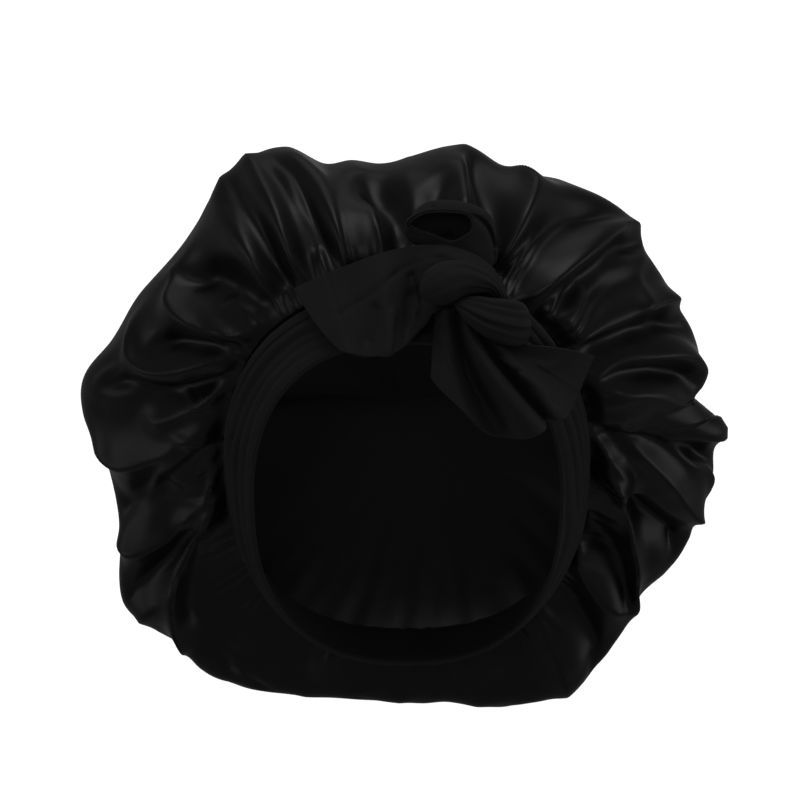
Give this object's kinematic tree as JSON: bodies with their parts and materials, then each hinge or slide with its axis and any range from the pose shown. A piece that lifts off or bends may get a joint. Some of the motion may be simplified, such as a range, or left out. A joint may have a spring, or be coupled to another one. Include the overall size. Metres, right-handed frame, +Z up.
{
  "type": "sleep cap",
  "caption": "Gathered satin sleep cap with a wide puffed crown on a wrapped jersey tie band, knotted at the front with two flared tails.",
  "frame": {"origin": "The middle of the loop that the band makes round the head, where a head sits in the cap", "axes": "+X is the viewer's right as seen from the front, -Y is the front where the knot is, +Z is up. The band's loop leans back 47 degrees, from the forehead in front to the nape behind"},
  "size_m": [0.3376, 0.2803, 0.2958],
  "materials": {
    "satin": "black polyester satin, glossy, soft folds",
    "jersey": "black stretch jersey, matt"
  },
  "bodies": {
    "root": {"crown": "satin", "tie_band": "jersey", "knot": "jersey", "left_tail": "jersey", "right_tail": "jersey", "top_loop": "jersey"}
  },
  "joints": []
}
